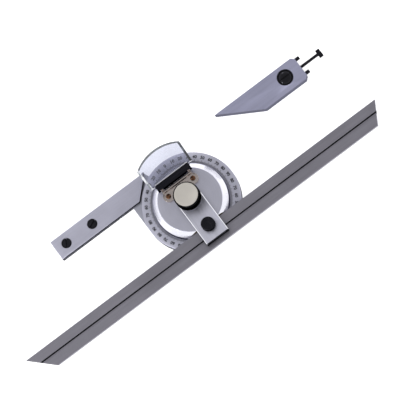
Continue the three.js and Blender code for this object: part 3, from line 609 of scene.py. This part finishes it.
# ---------------------------------------------------------------- vernier plate
# A chromed arc at the turret's rim, level with the ring, with a line every five minutes of arc either
# side of 0 and numbers at each quarter of a degree.
vernier_outline = np.concatenate([arc(TURRET_R, 90 - VERNIER_HALF, 90 + VERNIER_HALF, 60),
                                  arc(VERNIER_IN, 90 + VERNIER_HALF, 90 - VERNIER_HALF, 60)])
vernier = plate("vernier_arc", vernier_outline, vernier_low.z, vernier_high.z, 0.12 * mm, chrome_scale, 2)
place_piece(vernier, "turret", "chromed_scale", "vernier_plate")
steps = np.arange(-12, 13)
step_deg = 23.0 / 12  # twelve steps of the vernier take up 23 degrees of the ring
line_length = np.where(steps % 3 == 0, 1.9, 1.3) * mm
LINE_END = TURRET_R - 0.15 * mm
vernier_lines = ticks("vernier_lines", 90 - steps * step_deg, LINE_END - line_length, LINE_END,
                      width=0.15 * mm, top=vernier_high.z + PROUD)
place_piece(vernier_lines, "turret", "chromed_scale")
vernier_marks = [(str(abs(int(s)) * 5), VERNIER_IN + 0.95 * mm, 90 - s * step_deg)
                 for s in steps if s % 3 == 0]
vernier_numbers = numerals("vernier_numbers", vernier_marks, size=1.25 * mm, top=vernier_high.z + PROUD)
place_piece(vernier_numbers, "turret", "chromed_scale")
flush_screw("vernier_screw_1", "turret", 15.0)
flush_screw("vernier_screw_2", "turret", 70.0)

# ---------------------------------------------------------------- blade
# Hardened tool steel, ground along its length, with a square groove for the clamp's rib down the middle
# of its face and ends cut at 45 and 60 degrees.
GROOVE_W, GROOVE_D = 2.0 * mm, 1.0 * mm
EDGE = 0.22 * mm
middle_y = (blade_low.y + blade_high.y) / 2
half_w = (blade_high.y - blade_low.y) / 2
half_g = GROOVE_W / 2
top, bottom = blade_high.z, blade_low.z
section = np.array([
    (-half_w, bottom + EDGE), (-half_w, top - EDGE), (-half_w + EDGE, top), (-half_g - 0.1 * mm, top),
    (-half_g, top - 0.1 * mm), (-half_g, top - GROOVE_D), (0.1 * half_g, top - GROOVE_D),
    (half_g, top - GROOVE_D), (half_g, top - 0.1 * mm),
    (half_g + 0.1 * mm, top), (half_w - EDGE, top), (half_w, top - EDGE), (half_w, bottom + EDGE),
    (half_w - EDGE, bottom), (-half_w + EDGE, bottom)])
LEFT_CUT, RIGHT_CUT = 1 / math.tan(math.radians(45)), 1 / math.tan(math.radians(60))
# Each station of the path is sheared so that the first and last lie in the slanting end cuts.
station = np.concatenate([[0, EDGE / (blade_high.x - blade_low.x)], np.linspace(0.04, 0.96, 23)])
station = np.concatenate([station, 1 - station[1::-1]])[:, None]
at_end = (station <= 0) | (station >= 1)
end_z = np.where(at_end, np.clip(section[:, 1], bottom + EDGE, top - EDGE), section[:, 1])
from_edge = half_w - section[:, 0]
left_x = blade_low.x + from_edge * LEFT_CUT
right_x = blade_high.x - from_edge * RIGHT_CUT
blade_points = np.stack(np.broadcast_arrays(
    left_x + (right_x - left_x) * station, middle_y + section[:, 0], end_z), -1)
count = len(section)
blade_faces = [list(reversed(f)) for f in grid_faces(len(station), count, True).tolist()]
last = (len(station) - 1) * count
blade_faces += [list(range(count)), list(range(last + count - 1, last - 1, -1))]
blade_steel = satin_steel("ground_blade_steel", "#95939C", 0.42, lines=(25.0, 1300.0, 1300.0), depth=0.02)
blade = finish_mesh("grooved_blade", blade_points, blade_faces, blade_steel, 25.0)
# The groove's far wall and the far half of its floor are black oxide, painted shade for the shadowed line along
# the groove; the 60 degree end is bright.
blade.data.materials.append(oxide)
blade.data.materials.append(polished_steel)
for face in blade.data.polygons:
    if face.normal.x > 0.5 and face.center.z > bottom + EDGE:
        face.material_index = 2
    across_y = face.center.y - middle_y
    if 0 < across_y <= half_g + 1e-6 and face.center.z < top - 0.05 * mm and face.center.z > bottom + EDGE:
        face.material_index = 1
place_piece(blade, "blade", "blade_steel", "blade")

# ---------------------------------------------------------------- blade arm and its clamp screw
# The arm is a ground steel bar screwed flat to the turret. Its nose carries the knurled screw that
# presses a bronze shoe into the blade's groove. Its long top edges have a small bright chamfer.


def from_packed(name, packed, material, edge):
    """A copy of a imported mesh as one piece: welded, its flat facets joined, and its corners rounded."""
    CORNER = math.radians(35.0)  # an edge that turns more than this is rounded
    source = bpy.data.objects[packed]
    mesh = source.data.copy()
    mesh.transform(source.matrix_world)
    work = bmesh.new()
    work.from_mesh(mesh)
    bpy.data.meshes.remove(mesh)
    bmesh.ops.remove_doubles(work, verts=work.verts, dist=1e-6)
    bmesh.ops.dissolve_limit(work, angle_limit=math.radians(1.0), verts=work.verts, edges=work.edges)
    mesh = bpy.data.meshes.new(name)
    work.to_mesh(mesh)
    work.free()
    made = bpy.data.objects.new(name, mesh)
    bpy.context.scene.collection.objects.link(made)
    mesh.materials.append(material)
    bevel = made.modifiers.new("edges", "BEVEL")
    bevel.width = edge
    bevel.segments = 2
    bevel.limit_method = "ANGLE"
    bevel.angle_limit = CORNER
    mesh.shade_smooth()
    mesh.set_sharp_from_angle(angle=CORNER)
    return made


# The arm's upright walls are darkened, as painted shade.
arm_steel = satin_steel("satin_arm_steel", "#E2E2F0", 0.38, lines=(900.0, 40.0, 900.0), painted_wall_shade=0.95)
arm = from_packed("screwed_arm", "blade_arm", arm_steel, 0.08 * mm)
bright_edge = satin_steel("ground_bright_edge", "#DADAE0", 0.2, lines=(900.0, 40.0, 900.0))
# The chamfers along the arm are bright, and those across it are painted black as painted shade at its ends.
arm.data.materials.append(bright_edge)
arm.data.materials.append(oxide)
for face in arm.data.polygons:
    if 0.3 < face.normal.z < 0.9:
        face.material_index = 1 if abs(face.normal.x) > 0.3 else 2
place_piece(arm, "turret", "satin_steel", "blade_arm")
flush_screw("arm_screw_1", "turret", 40.0)
flush_screw("arm_screw_2", "turret", 115.0)


def knurled(name, profile, grip, teeth, depth, material, centre=(0.0, 0.0)):
    """A turned profile whose grip, between two heights, is a straight knurl: the radius falls by
    depth * |sin(teeth * angle / 2)| ** 0.6, fading out at both ends of the grip."""
    POINTS_PER_TOOTH, BANDS, FADE_SHARE = 8, 8, 0.12
    profile = np.asarray(profile, float)
    low, high = grip
    band = np.linspace(low, high, BANDS + 1)[1:-1]
    at = int(np.searchsorted(profile[:, 1] >= high - 1e-9, True))
    radius = profile[at, 0]
    full = np.vstack([profile[:at], np.column_stack([np.full(len(band), radius), band]), profile[at:]])
    angle = np.linspace(0, 2 * np.pi, teeth * POINTS_PER_TOOTH, endpoint=False)
    fade = np.clip(np.minimum(full[:, 1] - low, high - full[:, 1]) / (FADE_SHARE * (high - low)), 0, 1)
    fade = fade * (full[:, 0] > radius - 1.5 * depth)
    valley = np.abs(np.sin(teeth * angle / 2)) ** 0.6
    reach = full[:, :1] - depth * fade[:, None] * valley
    points = np.stack([centre[0] + reach * np.cos(angle), centre[1] + reach * np.sin(angle),
                       full[:, 1:] + 0 * angle], -1)
    return finish_mesh(name, points, grid_faces(len(full), len(angle), True), material, 40.0)


clamp_low, clamp_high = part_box("clamp_screw")
clamp_y = (clamp_low.y + clamp_high.y) / 2
clamp_r = clamp_high.x
CLAMP_SHANK_R = 2.2 * mm
HEAD_LOW = 15.3 * mm
EASE = 0.5 * mm
CLAMP_DISH = clamp_high.z - 0.08 * mm  # the top's middle lies a little below its ring
clamp_oxide = black_oxide("black_oxide_clamp", "#26262B", 0.4, 0.45)
clamp_profile = [
    (0, clamp_low.z), (CLAMP_SHANK_R, clamp_low.z), (CLAMP_SHANK_R, HEAD_LOW), (clamp_r - EASE, HEAD_LOW),
    (clamp_r, HEAD_LOW + EASE), (clamp_r, clamp_high.z - EASE), (clamp_r - EASE, clamp_high.z - 0.12 * mm),
    (0.74 * clamp_r, clamp_high.z), (0.70 * clamp_r, CLAMP_DISH), (0, CLAMP_DISH)]
clamp = knurled("clamp_thumbscrew", clamp_profile, grip=(HEAD_LOW + EASE, clamp_high.z - EASE), teeth=30,
                depth=0.3 * mm, material=clamp_oxide, centre=(0.0, clamp_y))
place_piece(clamp, "clamp_screw", "black_oxide", "clamp_screw")

# ---------------------------------------------------------------- lock knob
# The knob on the pivot's thread: blackened steel with a straight knurl and an eased rim, and a faced
# steel cap pressed into its top.
knob_low, knob_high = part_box("lock_knob")
cap_low, cap_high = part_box("knob_cap")
KNOB_R, CAP_R = knob_high.x, cap_high.x
NECK_R, SKIRT = 7.6 * mm, 18.0 * mm
BORE, BORE_TOP = 3.15 * mm, 26.5 * mm
RIM_FOOT = knob_high.z - 0.9 * mm  # where the knurl ends and the rim turns in
POCKET_R = CAP_R + 0.04 * mm
knob_oxide = black_oxide("black_oxide_knob", "#19191C", 0.34, 0.25)
knob_profile = [
    (BORE, knob_low.z), (NECK_R, knob_low.z), (NECK_R, SKIRT), (KNOB_R - EASE, SKIRT),
    (KNOB_R, SKIRT + EASE), (KNOB_R, RIM_FOOT), (KNOB_R - 0.25 * mm, knob_high.z - 0.35 * mm),
    (KNOB_R - 0.6 * mm, knob_high.z), (POCKET_R, knob_high.z), (POCKET_R, cap_low.z),
    (0, cap_low.z), (0, BORE_TOP), (BORE, BORE_TOP), (BORE, knob_low.z)]
knob = knurled("knurled_knob", knob_profile, grip=(SKIRT + EASE, RIM_FOOT), teeth=44, depth=0.38 * mm,
               material=knob_oxide)
place_piece(knob, "lock_knob", "black_oxide", "lock_knob")
cap_steel = turned_steel("faced_cap_steel", "#E8E3DA", 0.36, 0.3, 0.35)
CAP_EDGE = 0.2 * mm
CAP_DISH = cap_high.z - 0.06 * mm
ease = np.linspace(0, np.pi / 2, 4)
rim = np.column_stack([CAP_R - CAP_EDGE * (1 - np.cos(ease)), cap_high.z - CAP_EDGE * (1 - np.sin(ease))])
dish = np.array([(0.9 * CAP_R, cap_high.z), (0.86 * CAP_R, CAP_DISH), (0, CAP_DISH)])
cap = turned("faced_cap", np.vstack([[(0, cap_low.z), (CAP_R, cap_low.z)], rim, dish]), cap_steel, steps=144,
             sharp_deg=25.0)
place_piece(cap, "lock_knob", "cap_steel", "knob_cap")

# ---------------------------------------------------------------- magnifier
# A folded spring-steel bracket with two round-headed bronze screws, a blackened holder bar on a pin,
# and a polished acrylic lens with a domed top.
spring = satin_steel("rolled_spring_steel", "#C4BAB6", 0.24, lines=(60.0, 700.0, 700.0), depth=0.02)
bracket = from_packed("folded_bracket", "magnifier_bracket", spring, 0.12 * mm)
place_piece(bracket, "turret", "spring_steel", "magnifier_bracket")


def bronze_finish(name, tint, rough=0.26):
    """Turned bronze with a brown patina: noise darkens the hollows and varies the shine."""
    made, tree, shader, place = new_material(name)
    stain = node(tree, "ShaderNodeTexNoise", {}, {
        "Vector": place, "Scale": 420.0, "Detail": 5.0, "Roughness": 0.65}).outputs["Fac"]
    colour = node(tree, "ShaderNodeMix", {"data_type": "RGBA"}, {
        "Factor": spread(tree, stain, 0.35, 0.7, 0.0, 0.8), 6: linear(tint), 7: linear("#4A382C")})
    rougher = spread(tree, stain, 0.3, 0.7, rough - 0.06, rough + 0.16)
    feed(tree, shader, {"Base Color": colour.outputs[2], "Roughness": rougher})
    shader.inputs["Metallic"].default_value = 1.0
    return made


bronze = bronze_finish("aged_bronze", "#7D5A44", 0.2)
for name, slot_angle in (("bracket_screw_1", 20.0), ("bracket_screw_2", 55.0)):
    middle, head_r, shank_low, head_top = round_node(name)
    head_low = head_top - 1.1 * mm
    brim = head_low + 0.35 * mm
    dome = np.linspace(0, np.pi / 2, 8)
    crown = np.column_stack([head_r * np.cos(dome), brim + (head_top - brim) * np.sin(dome)])
    shank = [(0, shank_low), (0.5 * head_r, shank_low), (0.5 * head_r, head_low), (head_r, head_low)]
    screw = turned(name + "_round", np.vstack([shank, crown]), bronze, middle, 48)
    cut(screw, slot_cutter(middle, head_top, length=3 * head_r, width=0.4 * mm, depth=0.5 * mm,
                           angle_deg=slot_angle))
    place_piece(screw, "turret", "bronze", name)

# The holder's paler streaks along X are rubbed marks and painted highlight streaks.
holder_oxide = black_oxide("black_oxide_holder", "#26262C", 0.26, 0.7, (0.05, 1.6, 1.6))
holder = from_packed("holder_bar", "lens_holder", holder_oxide, 0.18 * mm)
place_piece(holder, "magnifier", "black_oxide", "lens_holder")

# The holder's lip is serrated where it meets the lens: its height runs over |sin| along X.
JAW_HALF, JAW_END, LIP_TOP = 13.6 * mm, 20.3 * mm, 21.6 * mm
TEETH, TOOTH_HEIGHT = 24, 0.38 * mm
LIP_DEEP, LIP_SUNK = 0.55 * mm, 0.1 * mm
run_x = np.linspace(-JAW_HALF, JAW_HALF, TEETH * 6 + 1)[:, None]
tooth = TOOTH_HEIGHT * np.abs(np.sin(np.pi * TEETH * (run_x + JAW_HALF) / (2 * JAW_HALF)))
lip_y = JAW_END - LIP_DEEP * np.array([1, 0, 0, 1])
lip_z = LIP_TOP - LIP_SUNK * np.array([1, 1, 0, 0]) + np.array([0, 0, 1, 1]) * tooth
lip_points = np.stack(np.broadcast_arrays(run_x, lip_y, lip_z), -1)
lip_faces = grid_faces(len(run_x), 4, True).tolist()
lip_faces += [[3, 2, 1, 0], [4 * len(run_x) - 4 + i for i in range(4)]]
lip = finish_mesh("serrated_lip", lip_points, lip_faces, bright_edge)
place_piece(lip, "magnifier", "black_oxide")

# Clear acrylic, IOR 1.49, polished; the cool tint is the thickness of the plate.


def acrylic(name, tint, rough, clear, haze_scale=300.0, fleck=None):
    """Acrylic that lets light through: noise gives it the slight haze of handling, and flecks of another
    tint where a sawn edge has chipped."""
    made, tree, shader, place = new_material(name)
    haze = node(tree, "ShaderNodeTexNoise", {}, {
        "Vector": place, "Scale": haze_scale, "Detail": 4.0}).outputs["Fac"]
    feed(tree, shader, {"Roughness": spread(tree, haze, 0.4, 0.8, rough, rough + 0.05)})
    shader.inputs["Base Color"].default_value = linear(tint)
    if fleck:
        mixed = node(tree, "ShaderNodeMix", {"data_type": "RGBA"}, {
            "Factor": spread(tree, haze, 0.46, 0.58, 0.0, 1.0), 6: linear(tint), 7: linear(fleck)})
        feed(tree, shader, {"Base Color": mixed.outputs[2]})
    shader.inputs["Transmission Weight"].default_value = clear
    shader.inputs["IOR"].default_value = 1.49
    return made


lens_low, lens_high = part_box("lens")
LENS_IN, LENS_OUT = 17.5 * mm, 18.2 * mm  # half widths at the holder and at the far corners
CORNER_Y = 36.1 * mm
LENS_EDGE_TOP = 20.8 * mm
DOME_Y, DOME_HALF = 30.7 * mm, 18.0 * mm  # the dome's middle, and how far it runs to each side
RIM = 1.7 * mm  # the bevel round the top
RIM_FALL = 0.8  # of the bevel's width
sag = lens_high.y - CORNER_Y
far_r = (LENS_OUT ** 2 + sag ** 2) / (2 * sag)
dome_r = DOME_HALF ** 2 / (2 * (lens_high.z - LENS_EDGE_TOP))
rim_share = RIM / (2 * LENS_OUT)
across_u = np.concatenate([[0], np.linspace(rim_share, 1 - rim_share, 31), [1]])
wide = LENS_OUT * (2 * across_u - 1)
far_y = lens_high.y - far_r + np.sqrt(far_r ** 2 - wide ** 2)
under_lip = JAW_END + 0.1 * mm
start_y = lens_low.y + 0.05 * mm
inner = np.linspace(0, 1 - RIM / (CORNER_Y - under_lip), 28)[:, None]
lens_y = np.vstack([np.full_like(far_y, start_y), np.full_like(far_y, under_lip - 0.02 * mm),
                    under_lip + inner * (far_y - under_lip), far_y])
half = LENS_IN + (LENS_OUT - LENS_IN) * (lens_y - lens_low.y) / (CORNER_Y - lens_low.y)
lens_x = half * (2 * across_u - 1)
reach = np.hypot(lens_x, lens_y - DOME_Y)
lens_z = lens_high.z - dome_r + np.sqrt(dome_r ** 2 - reach ** 2)
lens_z[:2] = LENS_EDGE_TOP
border = np.zeros_like(lens_z, bool)
border[:, [0, -1]] = border[-1] = True
lens_z = np.where(border, np.minimum(lens_z, LENS_EDGE_TOP) - RIM_FALL * RIM, lens_z)
upper = np.stack([lens_x, lens_y, lens_z], -1)
lower = upper.copy()
lower[..., 2] = lens_low.z
loop = np.concatenate([upper, lower[:, ::-1]], 1)
rows, columns = loop.shape[:2]
lens_faces = grid_faces(rows, columns, True).tolist()
for row, flip in ((0, False), (rows - 1, True)):
    for i in range(columns // 2 - 1):
        quad = [row * columns + k for k in (i, i + 1, columns - 2 - i, columns - 1 - i)]
        lens_faces.append(quad[::-1] if flip else quad)
lens = finish_mesh("domed_lens", loop, lens_faces, acrylic("polished_acrylic", "#D3D5E2", 0.0, 0.93), 30.0)
lens.data.materials.append(acrylic("painted_shade_acrylic_edge", "#0B0E12", 0.12, 0.9, 320.0, "#2A3037"))
lens.data.materials.append(acrylic("frosted_highlight_acrylic_edge", "#F8FAFC", 0.35, 0.25, 480.0, "#8A9098"))
# The bevel and the walls are painted nearly black, painted shade for how dark they look through the plate; the
# side that faces -X is frosted and painted near white, a painted highlight.
for face in lens.data.polygons:
    if abs(face.normal.z) < 0.92:
        face.material_index = 2 if face.normal.x < -0.45 else 1
place_piece(lens, "magnifier", "acrylic", "lens")

# ---------------------------------------------------------------- acute-angle attachment
# A loose satin steel plate with one edge cut back at an angle. A slotted cam screw in a recess draws a
# bolt that lies along its middle, and two pins stand out of its end to fit the stock's edge.
# The plate's upright walls are darkened a little, as painted shade.
att_steel = satin_steel("satin_attachment_steel", "#B6B7D0", 0.38, lines=(14.0, 900.0, 900.0), painted_wall_shade=0.6)
att = from_packed("attachment_body", "attachment_plate", att_steel, 0.25 * mm)
# The rounded edges are lighter and shinier: worn, and a painted highlight along them.
att.data.materials.append(bright_edge)  # worn on by the rounded edges
att.modifiers["edges"].material = 1
place_piece(att, "attachment", "satin_steel", "attachment_plate")
for name in ("attachment_pin_1", "attachment_pin_2"):
    pin = from_packed(name + "_ground", name, oxide, 0.25 * mm)
    place_piece(pin, "attachment", "black_oxide", name)
retainer = from_packed("spring_retainer", "cam_retaining_ring", oxide, 0.08 * mm)
place_piece(retainer, "attachment", "black_oxide", "cam_retaining_ring")
cam_oxide = black_oxide("black_oxide_cam", "#303034", 0.1, 0.35)
cam_middle, cam_r, _, cam_top = round_node("cam_screw")
CAM_FLOOR, CAM_STEP, CAM_DOME_R = 3.95 * mm, 5.2 * mm, 4.9 * mm
swell = np.linspace(0, np.pi / 2, 10)
cam_dome = np.column_stack([
    CAM_DOME_R * np.cos(swell) ** 0.7, CAM_STEP + (cam_top - CAM_STEP) * np.sin(swell)])
cam = turned("slotted_cam", np.vstack([[(0, CAM_FLOOR), (cam_r, CAM_FLOOR), (cam_r, CAM_STEP)], cam_dome]),
             cam_oxide, cam_middle, 64)
cut(cam, slot_cutter(cam_middle, cam_top, length=12 * mm, width=0.7 * mm, depth=0.9 * mm, angle_deg=0.0))
place_piece(cam, "cam_screw", "black_oxide", "cam_screw")
bolt = from_packed("drawn_bolt", "attachment_bolt", oxide, 0.3 * mm)
place_piece(bolt, "attachment_bolt", "black_oxide", "attachment_bolt")

# ---------------------------------------------------------------- pieces that are mostly hidden
# Stud, bush, washers, gib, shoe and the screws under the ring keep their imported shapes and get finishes.
stud_steel = turned_steel("turned_stud_steel", "#D4D4D8", 0.16, 0.3)
washer_steel = turned_steel("tempered_washer_steel", "#8E8E94", 0.30, 0.4)
bush_bronze = bronze_finish("bush_bronze", "#6E6044")
for names, finish in {
        ("pivot_stud", "hinge_pin"): stud_steel,
        ("wave_washer", "lock_washer"): washer_steel,
        ("thrust_washer", "turret_bush", "gib_strip", "clamp_shoe"): bush_bronze,
        ("ring_screw_1", "ring_screw_2", "ring_screw_3"): oxide}.items():
    for name in names:
        mesh = bpy.data.objects[name].data
        mesh.materials.clear()
        mesh.materials.append(finish)
